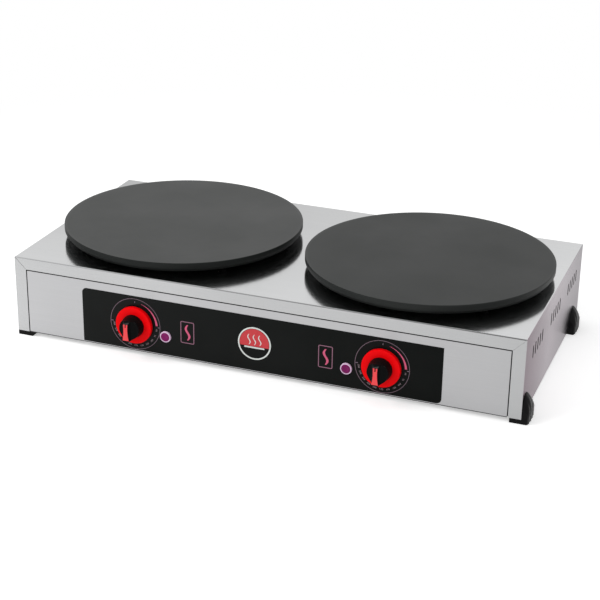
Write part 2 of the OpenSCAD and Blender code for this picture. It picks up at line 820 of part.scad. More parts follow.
module terminal_block() {
    color(white_ceramic) place() translate([block_x, block_y, block_base_z]) difference() {
        translate([-block_size[0] / 2, -block_size[1] / 2, 0]) cube(block_size);
        for (i = [-1.5:1.5])
            translate([i * pole_pitch - 0.6, -block_size[1] / 2 - 1, 8])
                cube([1.2, block_size[1] + 2, block_size[2]]);
        for (i = [-1:1], y = [-1, 1])
            translate([i * pole_pitch, y * pole_screw_y, pole_screw_z])
                cylinder(r = m3[2] + 0.2, h = block_size[2]);
    }
}

module terminal_screws() {
    color(brass) place() for (i = [-1:1], y = [-1, 1])
        translate([block_x + i * pole_pitch, block_y + y * pole_screw_y, block_base_z + pole_screw_z]) {
            cylinder(r = m3[2], h = 3);
            cylinder(r = m3[0], h = 6);
        }
}

module cable_gland() {
    color(black) at_rear(gland_x, gland_z) difference() {
        union() {
            cylinder(r = gland_flange_r, h = gland_flange_h, $fn = 6);
            translate([0, 0, -sheet_t - gland_inside]) cylinder(r = gland_r, h = gland_inside + sheet_t + 1);
            cylinder(r = gland_r - 0.4, h = gland_flange_h + 8);
        }
        translate([0, 0, -30]) cylinder(r = cable_r, h = 60);
    }
}

module gland_cap() {
    cap_z = gland_flange_h + 0.6;
    color(black) at_rear(gland_x, gland_z) difference() {
        union() {
            translate([0, 0, cap_z]) cylinder(r = 11, h = 8, $fn = 12);
            translate([0, 0, cap_z + 8]) cylinder(r1 = 10.2, r2 = 6.8, h = gland_reach + sheet_t - cap_z - 8);
        }
        translate([0, 0, -30]) cylinder(r = cable_r, h = 80);
        translate([0, 0, cap_z - 1]) cylinder(r = gland_r - 0.3, h = 9);
    }
}

module gland_locknut() {
    nut_h = 5;
    color(black) at_rear(gland_x, gland_z) translate([0, 0, -sheet_t - nut_h])
        hex_nut(gland_r + thread_slack, 13, nut_h);
}

// Stud with a thinner shank below its two nuts and a free end of full width for a cable lug
module earth_stud() {
    inside_l = 10;
    shank_l = sheet_t + inside_l + earth_nut_h + 1;
    color(brass) at_rear(earth_x, gland_z) translate([0, 0, -sheet_t - inside_l]) {
        cylinder(r = earth_shank_r, h = shank_l + 1);
        translate([0, 0, shank_l]) cylinder(r = m6[0], h = earth_reach + inside_l - shank_l);
    }
}

module earth_nuts() {
    color(brass) at_rear(earth_x, gland_z) {
        hex_nut(earth_shank_r + thread_slack, 5.8, earth_nut_h);
        translate([0, 0, -sheet_t - earth_nut_h]) hex_nut(earth_shank_r + thread_slack, 5.8, earth_nut_h);
    }
}

// ---- Wiring: from the terminal block below the pans to the element and the thermostat ----

function pin_at(side, r) = [side * plate_pitch / 2 + r * sin(end_angle), r * cos(end_angle)];

module run_to_pin(side, r, lane_y) {
    pin = pin_at(side, r);
    start = [block_x - pole_pitch, block_y - block_size[1] / 2 - 0.2, block_base_z + 10];
    wire([start, start + [0, -12, 0], start + [0, -20, 8], start + [0, -22, 20],
        [start[0], start[1] - 22, wire_z - 12], [start[0], start[1] - 26, wire_z - 3],
        [start[0] - 8, lane_y, wire_z], [pin[0] + 14, lane_y, wire_z],
        [pin[0] + 6, (lane_y + pin[1]) / 2, wire_z], [pin[0] + pin_r + wire_r + 0.2, pin[1], wire_z],
        [pin[0] + pin_r + wire_r + 0.2, pin[1] + 4, wire_z]], wire_r);
}

module run_to_thermostat(side) {
    pin = pin_at(side, ring_r[1]);
    tab_y = panel_back_y + stat_plate[2] + stat_d + stat_tab[1] + 0.2;
    tab = [dial_x(side) + stat_tab_x + stat_tab[0] / 2, tab_y, body_z + dial_z - stat_tab[2] / 2];
    beside_x = pin[0] - pin_r - wire_r - 0.2;
    wire([[beside_x, pin[1] + 4, wire_z], [beside_x, pin[1] - 4, wire_z],
        [pin[0] - 14, pin[1] - 30, wire_z], [tab[0], -100, wire_z], [tab[0], tab[1] + 26, wire_z],
        [tab[0], tab[1] + 16, wire_z - 4], [tab[0], tab[1] + 12, wire_z - 16],
        [tab[0], tab[1] + 10, tab[2] + 14], [tab[0], tab[1] + 6, tab[2] + 4], tab], wire_r);
}

module wiring_left() {
    color("#8C2F2A") place() {
        run_to_pin(-1, ring_r[0], 168);
        run_to_thermostat(-1);
    }
}

module wiring_right() {
    color("#2F4E8C") place() {
        run_to_pin(1, ring_r[0], 160);
        run_to_thermostat(1);
    }
}

casing();
front_panel();
control_label();
rear_panel();
base_plate();
centre_rib();
foot_front_left();
foot_rear_left();
foot_front_right();
foot_rear_right();
foot_screws();
base_screws();
rear_panel_screws();
griddle_plate(-1);  // griddle_plate_left
griddle_plate(1);  // griddle_plate_right
plate_standoffs();
plate_bolts();
heating_element(-1);  // heating_element_left
heating_element(1);  // heating_element_right
element_clamp(-1);  // element_clamp_left
element_clamp(1);  // element_clamp_right
clamp_studs();
clamp_nuts();
insulation(-1);  // insulation_left
insulation(1);  // insulation_right
heat_shield(-1);  // heat_shield_left
heat_shield(1);  // heat_shield_right
shield_screws();
sensor(-1);  // sensor_left
sensor(1);  // sensor_right
thermostat(-1);  // thermostat_left
thermostat(1);  // thermostat_right
thermostat_screws();
thermostat_shaft(-1);  // thermostat_shaft_left
thermostat_shaft(1);  // thermostat_shaft_right
knob(-1);  // knob_left
knob(1);  // knob_right
knob_skirt(-1);  // knob_skirt_left
knob_skirt(1);  // knob_skirt_right
knob_pointer(-1);  // knob_pointer_left
knob_pointer(1);  // knob_pointer_right
lamp_bezel(-1);  // lamp_bezel_left
lamp_bezel(1);  // lamp_bezel_right
lamp_lens(-1);  // lamp_lens_left
lamp_lens(1);  // lamp_lens_right
lamp_holder(-1);  // lamp_holder_left
lamp_holder(1);  // lamp_holder_right
lamp_nuts();
terminal_block();
terminal_screws();
cable_gland();
gland_cap();
gland_locknut();
earth_stud();
earth_nuts();
wiring_left();
wiring_right();
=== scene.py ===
"""Looks of the double electric crepe maker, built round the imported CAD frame. Metres."""

import math

import bmesh
import bpy
from mathutils import Matrix, Vector


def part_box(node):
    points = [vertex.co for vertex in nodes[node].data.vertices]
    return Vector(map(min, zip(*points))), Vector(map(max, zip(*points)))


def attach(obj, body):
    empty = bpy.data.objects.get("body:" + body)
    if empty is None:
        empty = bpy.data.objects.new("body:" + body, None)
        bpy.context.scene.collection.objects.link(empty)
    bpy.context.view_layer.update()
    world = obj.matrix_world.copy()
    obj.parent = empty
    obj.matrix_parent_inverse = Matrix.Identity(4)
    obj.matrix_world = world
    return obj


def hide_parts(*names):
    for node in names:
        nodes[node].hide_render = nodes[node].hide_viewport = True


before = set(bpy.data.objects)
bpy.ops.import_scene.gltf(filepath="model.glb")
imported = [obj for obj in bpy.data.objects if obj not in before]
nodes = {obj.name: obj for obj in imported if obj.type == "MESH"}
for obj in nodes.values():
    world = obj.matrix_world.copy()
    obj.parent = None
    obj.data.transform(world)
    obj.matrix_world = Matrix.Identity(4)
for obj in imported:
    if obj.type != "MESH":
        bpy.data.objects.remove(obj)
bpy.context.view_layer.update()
MM = 0.001
SIDES = ("left", "right")


# ---- Camera, light and floor ----

# The camera was fitted to the cabinet's corners and to both plate rims in the photograph
AZIMUTH = math.radians(20.18)
ELEVATION = math.radians(23.39)
ROLL = math.radians(0.95)
DISTANCE = 2.5907
LOOK_AT = Vector((-0.0111, 0.0062, 0.0468))
FOCAL_PX = 1550.0
IMAGE_PX = 600.0
SENSOR_MM = 36.0

WHITE = (1, 1, 1, 1)
BLACK = (0, 0, 0, 1)
AMBIENT = 0.5
LIGHT_AIM = (0, 0, 0.1)
FLOOR_HALF = 9.0
FLOOR_PAINT = (0.9, 0.9, 0.9, 1)
FLOOR_LIFT = 0.455
FADE_START, FADE_END = 0.55, 1.5


def add_camera():
    """Camera at the photograph's angle; its focal length is given in pixels of the 600 px frame."""
    view = Vector((-math.sin(AZIMUTH) * math.cos(ELEVATION), math.cos(AZIMUTH) * math.cos(ELEVATION),
                   -math.sin(ELEVATION)))
    level = view.cross(Vector((0, 0, 1))).normalized()
    upright = level.cross(view)
    right = level * math.cos(ROLL) + upright * math.sin(ROLL)
    up = upright * math.cos(ROLL) - level * math.sin(ROLL)
    data = bpy.data.cameras.new("camera")
    data.sensor_width = SENSOR_MM
    data.lens = SENSOR_MM * FOCAL_PX / IMAGE_PX
    camera = bpy.data.objects.new("camera", data)
    turn = Matrix((right, up, -view)).transposed().to_4x4()
    camera.matrix_world = Matrix.Translation(LOOK_AT - view * DISTANCE) @ turn
    bpy.context.scene.collection.objects.link(camera)
    bpy.context.scene.camera = camera


def add_area_light(name, place, size, watts):
    """A soft light aimed at the object, which shows neither to the camera nor in a mirror."""
    data = bpy.data.lights.new(name, "AREA")
    data.shape = "RECTANGLE"
    data.size, data.size_y = size
    data.energy = watts
    light = bpy.data.objects.new(name, data)
    turn = (Vector(LIGHT_AIM) - Vector(place)).to_track_quat("-Z", "Y")
    light.matrix_world = Matrix.Translation(place) @ turn.to_matrix().to_4x4()
    light.visible_camera = False
    light.visible_glossy = False
    bpy.context.scene.collection.objects.link(light)


class Graph:
    """A short way to write a node tree: a call adds one node and returns one of its outputs."""

    def __init__(self, tree):
        self.tree = tree
        tree.nodes.clear()

    def add(self, kind, settings=None, out=0, **inputs):
        """Inputs are named with _ for a space, or numbered."""
        node = self.tree.nodes.new(kind)
        for key, value in (settings or {}).items():
            setattr(node, key, value)
        for key, value in inputs.items():
            self.set(node, key.replace("_", " "), value)
        return node.outputs[out] if node.outputs else node

    def set(self, node, key, value):
        socket = node.inputs[int(key)] if key.isdigit() else node.inputs[key]
        if isinstance(value, bpy.types.NodeSocket):
            self.tree.links.new(value, socket)
        else:
            socket.default_value = value

    def math(self, operation, a, b=0.0):
        return self.add("ShaderNodeMath", {"operation": operation}, **{"0": a, "1": b})

    def above(self, value, limit):
        return self.math("GREATER_THAN", value, limit)

    def below(self, value, limit):
        return self.math("LESS_THAN", value, limit)

    def size_of(self, value):
        return self.math("ABSOLUTE", value)

    def product(self, first, *others):
        for other in others:
            first = self.math("MULTIPLY", first, other)
        return first

    def vector(self, operation, a, b):
        return self.add("ShaderNodeVectorMath", {"operation": operation}, **{"0": a, "1": b})

    def split(self, vector):
        return self.add("ShaderNodeSeparateXYZ", Vector=vector).node.outputs

    def remap(self, value, low, high, to_low, to_high):
        return self.add("ShaderNodeMapRange", Value=value, From_Min=low, From_Max=high, To_Min=to_low,
                        To_Max=to_high)

    def mix_colour(self, factor, a, b):
        return self.add("ShaderNodeMix", {"data_type": "RGBA"}, 2, **{"0": factor, "6": a, "7": b})

    def pick(self, factor, a, b):
        return self.add("ShaderNodeMix", **{"0": factor, "2": a, "3": b})

    def noise(self, place, scale, detail=3.0, roughness=0.55):
        return self.add("ShaderNodeTexNoise", Vector=place, Scale=scale, Detail=detail, Roughness=roughness)

    def mixture(self, first, second, share):
        """Two values added, with this share of the first."""
        return self.math("ADD", self.product(first, share), self.product(second, 1 - share))

    def tone(self, first, second, share):
        """A mixture of two noises, stretched to run from 0 to 1."""
        return self.remap(self.mixture(first, second, share), 0.35, 0.65, 0.0, 1.0)

    def bump(self, height, strength, distance):
        return self.add("ShaderNodeBump", Height=height, Strength=strength, Distance=distance)


def sees_background(graph):
    """1 for a ray that comes from the camera, a mirror or a glass, and 0 for any other."""
    path = graph.add("ShaderNodeLightPath").node
    seen = graph.math("MAXIMUM", path.outputs["Is Camera Ray"], path.outputs["Is Glossy Ray"])
    return graph.math("MAXIMUM", seen, path.outputs["Is Transmission Ray"])


def add_world():
    """White where it is seen, and dimmer as a light."""
    world = bpy.data.worlds.new("world")
    bpy.context.scene.world = world
    world.use_nodes = True
    graph = Graph(world.node_tree)
    ambient = graph.add("ShaderNodeBackground", Color=WHITE, Strength=AMBIENT)
    white = graph.add("ShaderNodeBackground", Color=WHITE, Strength=1.0)
    mixed = graph.add("ShaderNodeMixShader", **{"0": sees_background(graph), "1": ambient, "2": white})
    graph.add("ShaderNodeOutputWorld", Surface=mixed)


def add_floor():
    """A pale floor that keeps the object's shadow near it and runs out into the white background."""
    half = FLOOR_HALF
    mesh = bpy.data.meshes.new("floor")
    corners = [(-half, -half, 0), (half, -half, 0), (half, half, 0), (-half, half, 0)]
    mesh.from_pydata(corners, [], [(0, 1, 2, 3)])
    floor = bpy.data.objects.new("floor", mesh)
    bpy.context.scene.collection.objects.link(floor)
    material = bpy.data.materials.new("pale_floor")
    material.use_nodes = True
    graph = Graph(material.node_tree)
    place = graph.add("ShaderNodeTexCoord", out=3)
    reach = graph.add("ShaderNodeVectorMath", {"operation": "LENGTH"}, 1, **{"0": place})
    far = graph.add("ShaderNodeMapRange", {"interpolation_type": "SMOOTHSTEP"}, Value=reach,
                    From_Min=FADE_START, From_Max=FADE_END)
    seen = sees_background(graph)
    paint = graph.add("ShaderNodeBsdfDiffuse", Color=FLOOR_PAINT)
    lift = graph.add("ShaderNodeEmission", Color=WHITE, Strength=graph.product(seen, FLOOR_LIFT))
    near_floor = graph.add("ShaderNodeAddShader", **{"0": paint, "1": lift})
    white = graph.add("ShaderNodeEmission", Color=WHITE, Strength=1.0)
    mixed = graph.add("ShaderNodeMixShader", **{"0": graph.product(far, seen), "1": near_floor, "2": white})
    graph.add("ShaderNodeOutputMaterial", Surface=mixed)
    mesh.materials.append(material)


add_camera()
add_world()
add_floor()
# Place and size in metres, power in watts
add_area_light("key", (-2.0, -1.7, 2.2), (1.8, 1.6), 42)
add_area_light("fill", (0.8, -2.6, 1.6), (1.6, 1.6), 11)
add_area_light("top", (-0.3, 0.5, 2.8), (2.0, 1.6), 11)


# ---- Materials ----

def new_material(name):
    """A material with its graph, its surface node and the place in the frame that textures use."""
    material = bpy.data.materials.new(name)
    material.use_nodes = True
    graph = Graph(material.node_tree)
    surface = graph.tree.nodes.new("ShaderNodeBsdfPrincipled")
    graph.add("ShaderNodeOutputMaterial", Surface=surface.outputs[0])
    place = graph.add("ShaderNodeTexCoord", out=3)
    return material, graph, surface, place


def rgba(colour):
    return (*colour, 1.0)


def finish_surface(graph, surface, **inputs):
    for key, value in inputs.items():
        graph.set(surface, key.replace("_", " "), value)


# A face counts as facing an axis when its normal's part along it is more than FACES, as turned
# away from it when that part is less than AWAY, and as part of the fold over the front past FOLD_TILT
FACES, AWAY, FOLD_TILT = 0.7, 0.5, 0.2
# How deep a sheet's cut edges and its bare inside start, and their colour: matt cut edges, with painted shade
# in the slots, the gaps and the inside
EDGE_DEPTH = 1.35 * MM
EDGE_MARGIN = 2.5 * EDGE_DEPTH
INSIDE_DEPTH = 0.9 * MM
CUT_EDGE_AND_SHADE = (0.012, 0.011, 0.012)
# Brush lines: noise scale along and across them, their height and how much they vary the gloss
BRUSH_ALONG, BRUSH_ACROSS = 6.0, 1100.0
BRUSH_BUMP, BRUSH_SPREAD = 0.06, 0.03
TOP_ROUGHNESS = 0.115
# Painted shade: how dark the fold over the front is painted at its left and its right end, and the top at its
# rear left
PAINTED_FOLD_SHADE = (0.1, 0.65)
TOP_PAINTED_REAR_SHADE = 0.36
# The sides' colour with painted shade and painted reflection, from the front edge to the rear edge, and the
# painted tint of their reflection at a flat angle. The middle colour lies between the two distances from the
# front edge
SIDE_FRONT_END = (0.278, 0.217, 0.247)
SIDE_MIDDLE = (0.635, 0.604, 0.626)
SIDE_REAR_END = (0.380, 0.383, 0.392)
SIDE_MIDDLE_START, SIDE_MIDDLE_END = 0.17, 0.2
SIDE_PAINTED_REFLECTION_TINT = (0.61, 0.585, 0.60)


def from_middle(graph, place, node):
    """Half the size of the node's box, and how far a point lies from its middle along each axis."""
    low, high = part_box(node)
    offset = graph.split(graph.vector("SUBTRACT", place, (low + high) / 2))
    return (high - low) / 2, [graph.size_of(offset[axis]) for axis in range(3)]


def sheet_edges(graph, place, facing, node):
    """1 on the cut edges of a folded sheet node, where slots, holes and windows show its thickness."""
    half, reach = from_middle(graph, place, node)
    mask = 0.0
    for axis in range(3):
        parts = [graph.above(reach[axis], half[axis] - EDGE_DEPTH),
                 graph.below(graph.size_of(facing[axis]), AWAY)]
        parts += [graph.below(reach[other], half[other] - EDGE_MARGIN) for other in range(3) if other != axis]
        mask = graph.math("MAXIMUM", mask, graph.product(*parts))
    return mask


def inside_of(graph, place, node):
    """1 on the inner faces of a folded sheet box."""
    half, reach = from_middle(graph, place, node)
    return graph.product(*[graph.below(reach[axis], half[axis] - INSIDE_DEPTH) for axis in range(3)])


def behind_front(graph, spot, facing, node):
    """1 on all of the front panel that isn't its front face, and nearly so along its lower fold, where it
    gets matt edges and painted shade in the gap and along the fold.
    """
    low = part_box(node)[0]
    set_back = graph.above(spot[1], low.y + 0.5 * MM)
    turned = graph.below(graph.size_of(facing[1]), FACES)
    fold = graph.product(graph.below(spot[2], low.z + 1.3 * MM), 0.9)
    return graph.math("MAXIMUM", graph.math("MAXIMUM", set_back, turned), fold)


def side_steel(graph, spot, tone, low, high):
    """The sides' colour with painted shade and painted reflection: dark and warm at the front edge, palest in
    the middle, streaked by the tone.
    """
    first = graph.remap(spot[1], low.y, low.y + SIDE_MIDDLE_START, 0.0, 1.0)
    last = graph.remap(spot[1], low.y + SIDE_MIDDLE_END, high.y, 0.0, 1.0)
    colour = graph.mix_colour(first, rgba(SIDE_FRONT_END), rgba(SIDE_MIDDLE))
    colour = graph.mix_colour(last, colour, rgba(SIDE_REAR_END))
    return graph.mix_colour(graph.remap(tone, 0.0, 1.0, 0.12, 0.0), colour, BLACK)


def brushed(name, light, dark, roughness, node, painted_front_fall):
    """Sheet steel with brush lines along the length of each face, a mirror-like top and matt cut edges, with
    painted shade and painted reflection: darker slots, gaps and inside, a darker fold over the front, a
    darker rear left of the top and shaded, tinted sides.
    The front's painted shade falls from its left end to its right end as painted_front_fall says."""
    material, graph, surface, place = new_material(name)
    low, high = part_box(node)
    normal = graph.add("ShaderNodeTexCoord", out=1)
    facing = graph.split(normal)
    spot = graph.split(place)
    on_side = graph.above(graph.size_of(facing[0]), FACES)
    on_top = graph.above(facing[2], FACES)
    on_front = graph.below(facing[1], -FACES)
    scales = (BRUSH_ALONG, BRUSH_ACROSS, BRUSH_ACROSS), (BRUSH_ACROSS, BRUSH_ALONG, BRUSH_ACROSS)
    lines = [graph.noise(graph.vector("MULTIPLY", place, scale), 1.0, 3.0, 0.65) for scale in scales]
    line = graph.pick(on_side, *lines)
    tone = graph.tone(line, graph.noise(place, 4.0, 2.0, 0.5), 0.5)
    # Painted shade: the front darkens from its left end to its right end
    painted_front_shade = graph.pick(on_front, 1.0, graph.remap(spot[0], low.x, high.x, *painted_front_fall))
    colour = graph.mix_colour(painted_front_shade, BLACK, graph.mix_colour(tone, rgba(dark), rgba(light)))
    # Painted shade along the fold over the front, stronger towards its right end
    fold = graph.product(graph.below(facing[1], -FOLD_TILT), graph.above(facing[2], FOLD_TILT),
                         graph.remap(spot[0], low.x, high.x, *PAINTED_FOLD_SHADE))
    colour = graph.mix_colour(fold, colour, BLACK)
    # Painted shade on the top, darker towards its rear left corner
    rear_left = graph.product(on_top, graph.remap(spot[1], low.y, high.y, 0.0, 1.0),
                              graph.remap(spot[0], low.x, high.x, TOP_PAINTED_REAR_SHADE, 0.0))
    colour = graph.mix_colour(rear_left, colour, BLACK)
    # The sides take their colour with painted shade and painted reflection
    colour = graph.mix_colour(on_side, colour, side_steel(graph, spot, tone, low, high))
    # Cut edges are matt; the slots, the gap behind the casing's flange, the lower fold and the inside get
    # painted shade in the same dark colour
    if node == "front_panel":
        cut_edge_and_painted_shade = behind_front(graph, spot, facing, node)
    else:
        cut_edge_and_painted_shade = graph.math("MAXIMUM", sheet_edges(graph, place, facing, node), inside_of(graph, place, node))
    colour = graph.mix_colour(cut_edge_and_painted_shade, colour, rgba(CUT_EDGE_AND_SHADE))
    along_brush = graph.add("ShaderNodeCombineXYZ", X=graph.math("SUBTRACT", 1.0, on_side), Y=on_side)
    across_brush = graph.vector("CROSS_PRODUCT", along_brush, normal)
    brushed_roughness = graph.remap(line, 0.3, 0.7, roughness - BRUSH_SPREAD, roughness + BRUSH_SPREAD)
    finish_surface(graph, surface, Base_Color=colour, Metallic=graph.math("SUBTRACT", 1.0, cut_edge_and_painted_shade),
                   Anisotropic=graph.pick(on_top, 0.75, 0.7), Tangent=across_brush, Specular_IOR_Level=0.2,
                   Specular_Tint=graph.mix_colour(on_side, WHITE, rgba(SIDE_PAINTED_REFLECTION_TINT)),
                   Roughness=graph.pick(on_top, brushed_roughness, TOP_ROUGHNESS),
                   Normal=graph.bump(line, BRUSH_BUMP, 0.2 * MM))
    return material


def grained(name, light, dark, roughness, grain_scale=900.0, grain=0.15, metallic=0.0, specular=0.5,
            patch_scale=14.0):
    """A general moulded, painted or plated finish: fine grain with slow patches of a second tone.
    The specular level is a number or a function of the graph and the place."""
    material, graph, surface, place = new_material(name)
    if callable(specular):
        specular = specular(graph, place)
    fine = graph.noise(place, grain_scale, 3.0, 0.6)
    patch = graph.noise(place, patch_scale)
    colour = graph.mix_colour(graph.tone(fine, patch, 0.35), rgba(dark), rgba(light))
    finish_surface(graph, surface, Base_Color=colour, Metallic=metallic, Specular_IOR_Level=specular,
                   Roughness=graph.remap(patch, 0.3, 0.7, roughness * 0.88, roughness * 1.12),
                   Normal=graph.bump(fine, grain, 0.1 * MM))
    return material


IRON_LIGHT = (0.017, 0.0190, 0.0180)
IRON_DARK = (0.011, 0.0125, 0.0118)
RING_SCALE = 900.0


def turned_iron(name, centre, rim_r, gloss, rim_gloss):
    """Turned and seasoned cast iron: fine rings round the plate's centre, with cloudy patches and
    a brighter band at the rim, where spreaders rub it."""
    material, graph, surface, place = new_material(name)
    offset = graph.split(graph.vector("SUBTRACT", place, (*centre, 0.0)))
    squares = [graph.product(offset[axis], offset[axis]) for axis in range(2)]
    radius = graph.math("SQRT", graph.math("ADD", *squares))
    turned = graph.add("ShaderNodeCombineXYZ", X=graph.product(radius, RING_SCALE))
    ring = graph.noise(turned, 1.0, 2.0, 0.6)
    fine = graph.noise(place, 700.0, 3.0, 0.65)
    patch = graph.noise(place, 7.0, 4.0, 0.55)
    facing = graph.split(graph.add("ShaderNodeTexCoord", out=1))
    on_top = graph.remap(facing[2], 0.3, 0.9, 0.0, 1.0)
    top_gloss = graph.remap(radius, rim_r - 5 * MM, rim_r - 4 * MM, gloss, 1.18 * gloss)
    colour = graph.mix_colour(graph.tone(patch, ring, 0.75), rgba(IRON_DARK), rgba(IRON_LIGHT))
    finish_surface(graph, surface, Base_Color=colour, Metallic=0.0,
                   Roughness=graph.remap(patch, 0.3, 0.7, 0.46, 0.56),
                   Specular_IOR_Level=graph.pick(on_top, rim_gloss, top_gloss),
                   Normal=graph.bump(graph.mixture(ring, fine, 0.6), 0.2, 0.12 * MM))
    return material


def printed(name, colour):
    """Screen printing ink: slightly uneven in density."""
    material, graph, surface, place = new_material(name)
    density = graph.remap(graph.noise(place, 1400.0, 2.0, 0.5), 0.3, 0.7, 0.0, 1.0)
    dark = tuple(0.78 * part for part in colour)
    finish_surface(graph, surface, Base_Color=graph.mix_colour(density, rgba(dark), rgba(colour)),
                   Roughness=0.45, Specular_IOR_Level=0.3)
    return material


def fading_gloss(graph, place):
    """The label's sheen, weaker towards its right end."""
    low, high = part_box("control_label")
    return graph.remap(graph.split(place)[0], low.x, high.x, 0.08, 0.025)


def thumb_gloss(graph, _place):
    """A knob is matt but for the slanted end that thumbs have polished, which faces up at rest."""
    facing = graph.split(graph.add("ShaderNodeTexCoord", out=1))
    slanted = graph.product(graph.above(facing[2], 0.6), graph.below(facing[1], -0.42))
    return graph.remap(slanted, 0.0, 1.0, 0.04, 0.65)


# Each finish: its lighter and its darker tone, then its roughness
# For the steels the last pair is the painted shade across the front, from its left end to its right end
STEEL = brushed("brushed_steel", (0.64, 0.645, 0.65), (0.57, 0.575, 0.58), 0.24, "casing", (0.80, 0.65))
PANEL_STEEL = brushed("panel_steel", (0.60, 0.60, 0.61), (0.54, 0.54, 0.55), 0.32, "front_panel",
                      (0.86, 0.70))
SHEET = grained("galvanised_sheet", (0.52, 0.54, 0.55), (0.44, 0.46, 0.47), 0.45, 240.0, 0.1, metallic=1.0,
                patch_scale=60.0)
ZINC = grained("zinc_plating", (0.62, 0.63, 0.65), (0.52, 0.53, 0.55), 0.3, 500.0, 0.1, metallic=1.0)
LABEL_FILM = grained("label_film", (0.0085, 0.0095, 0.0090), (0.0065, 0.0074, 0.0070), 0.2, 1600.0, 0.04,
                     specular=fading_gloss)
FOOT_PLASTIC = grained("foot_plastic", (0.0036, 0.0038, 0.0040), (0.0018, 0.0019, 0.0021), 0.24, 1100.0, 0.1,
                       specular=0.1)
KNOB_BLACK = grained("knob_black", (0.0050, 0.0054, 0.0056), (0.0034, 0.0036, 0.0038), 0.4, 1400.0, 0.1,
                     specular=thumb_gloss)
KNOB_RED = grained("knob_red", (1.0, 0.002, 0.005), (0.97, 0.0015, 0.004), 0.4, 1400.0, 0.08, specular=0.06)
POINTER_RED = grained("pointer_red", (0.95, 0.075, 0.085), (0.87, 0.062, 0.072), 0.38, 1400.0, 0.06,
                      specular=0.3)
BEZEL_PINK = grained("lamp_bezel", (0.84, 0.62, 0.82), (0.76, 0.52, 0.74), 0.3, 1200.0, 0.05, specular=0.3)
ENAMEL = grained("black_enamel", (0.016, 0.016, 0.017), (0.010, 0.010, 0.011), 0.35, 600.0, 0.12)
STANDOFF_BLACK = grained("standoff_black", (0.006, 0.006, 0.006), (0.003, 0.003, 0.003), 0.6, 600.0, 0.12,
                         specular=0.05)
SHEATH = grained("element_sheath", (0.20, 0.16, 0.14), (0.11, 0.09, 0.09), 0.42, 400.0, 0.2, metallic=1.0,
                 patch_scale=40.0)
WOOL = grained("ceramic_wool", (0.80, 0.78, 0.72), (0.66, 0.63, 0.57), 0.95, 420.0, 0.9)
BRASS = grained("plain_brass", (0.66, 0.48, 0.20), (0.50, 0.35, 0.14), 0.3, 500.0, 0.1, metallic=1.0)
STAT_CASE = grained("thermostat_case", (0.60, 0.56, 0.42), (0.50, 0.46, 0.34), 0.4, 300.0, 0.1, metallic=1.0)
CERAMIC = grained("white_ceramic", (0.82, 0.80, 0.74), (0.74, 0.71, 0.65), 0.55, 700.0, 0.2)
GLAND = grained("gland_plastic", (0.020, 0.020, 0.022), (0.012, 0.012, 0.014), 0.45, 900.0, 0.25)
WIRE_RED = grained("wire_red", (0.32, 0.04, 0.03), (0.24, 0.03, 0.02), 0.5, 900.0, 0.1)
WIRE_BLUE = grained("wire_blue", (0.05, 0.09, 0.30), (0.03, 0.06, 0.22), 0.5, 900.0, 0.1)
LENS = grained("lamp_lens", (0.24, 0.003, 0.125), (0.15, 0.002, 0.08), 0.12, 500.0, 0.02, specular=0.16)
INK_RING = printed("ink_grey_pink", (0.19, 0.130, 0.165))
INK_PINK = printed("ink_pink", (0.75, 0.12, 0.24))
INK_NUMBER = printed("ink_number", (0.34, 0.27, 0.30))
INK_MARK = printed("ink_mark", (0.26, 0.19, 0.25))
INK_FRAME = printed("ink_frame", (0.33, 0.15, 0.22))
INK_WHITE = printed("ink_white", (0.80, 0.84, 0.81))
INK_RED = printed("ink_red", (0.66, 0.05, 0.06))

NODE_MATERIALS = {
    STEEL: ("casing", "rear_panel"),
    PANEL_STEEL: ("front_panel",),
    SHEET: ("base_plate", "centre_rib"),
    LABEL_FILM: ("control_label",),
    FOOT_PLASTIC: ("foot_front_left", "foot_rear_left", "foot_front_right", "foot_rear_right"),
    ZINC: ("foot_screws", "base_screws", "rear_panel_screws", "plate_bolts", "element_clamp_left",
           "element_clamp_right", "clamp_studs", "clamp_nuts", "shield_screws", "thermostat_screws",
           "thermostat_shaft_left", "thermostat_shaft_right", "lamp_nuts"),
    ENAMEL: ("heat_shield_left", "heat_shield_right"),
    STANDOFF_BLACK: ("plate_standoffs",),
    SHEATH: ("heating_element_left", "heating_element_right"),
    WOOL: ("insulation_left", "insulation_right"),
    BRASS: ("sensor_left", "sensor_right", "terminal_screws", "earth_stud", "earth_nuts"),
    STAT_CASE: ("thermostat_left", "thermostat_right"),
    CERAMIC: ("lamp_holder_left", "lamp_holder_right", "terminal_block"),
    GLAND: ("cable_gland", "gland_cap", "gland_locknut"),
    WIRE_RED: ("wiring_left",),
    WIRE_BLUE: ("wiring_right",),
    BEZEL_PINK: ("lamp_bezel_left", "lamp_bezel_right"),
    LENS: ("lamp_lens_left", "lamp_lens_right"),
}


def dress_nodes():
    """Gives every CAD node in the table its material; some nodes that a scene piece replaces are in it too.
    """
    for material, names in NODE_MATERIALS.items():
        for name in names:
            mesh = nodes[name].data
            mesh.materials.clear()
            mesh.materials.append(material)


dress_nodes()


# ---- Mesh helpers ----

def add_piece(name, mesh, material, body, smooth_angle=40.0):
    """Makes an object of a bmesh, shades it smooth below an angle and puts it on a body."""
    bmesh.ops.recalc_face_normals(mesh, faces=mesh.faces)
    limit = math.radians(smooth_angle)
    for edge in mesh.edges:
        edge.smooth = len(edge.link_faces) == 2 and edge.calc_face_angle(0.0) < limit
    for face in mesh.faces:
        face.smooth = True
    data = bpy.data.meshes.new(name)
    mesh.to_mesh(data)
    mesh.free()
    data.materials.append(material)
    piece = bpy.data.objects.new(name, data)
    bpy.context.scene.collection.objects.link(piece)
    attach(piece, body)
    return piece


def close_between(mesh, low, high):
    """Faces between two closed rings of as many points each."""
    for i in range(len(low)):
        j = (i + 1) % len(low)
        mesh.faces.new((low[i], low[j], high[j], high[i]))


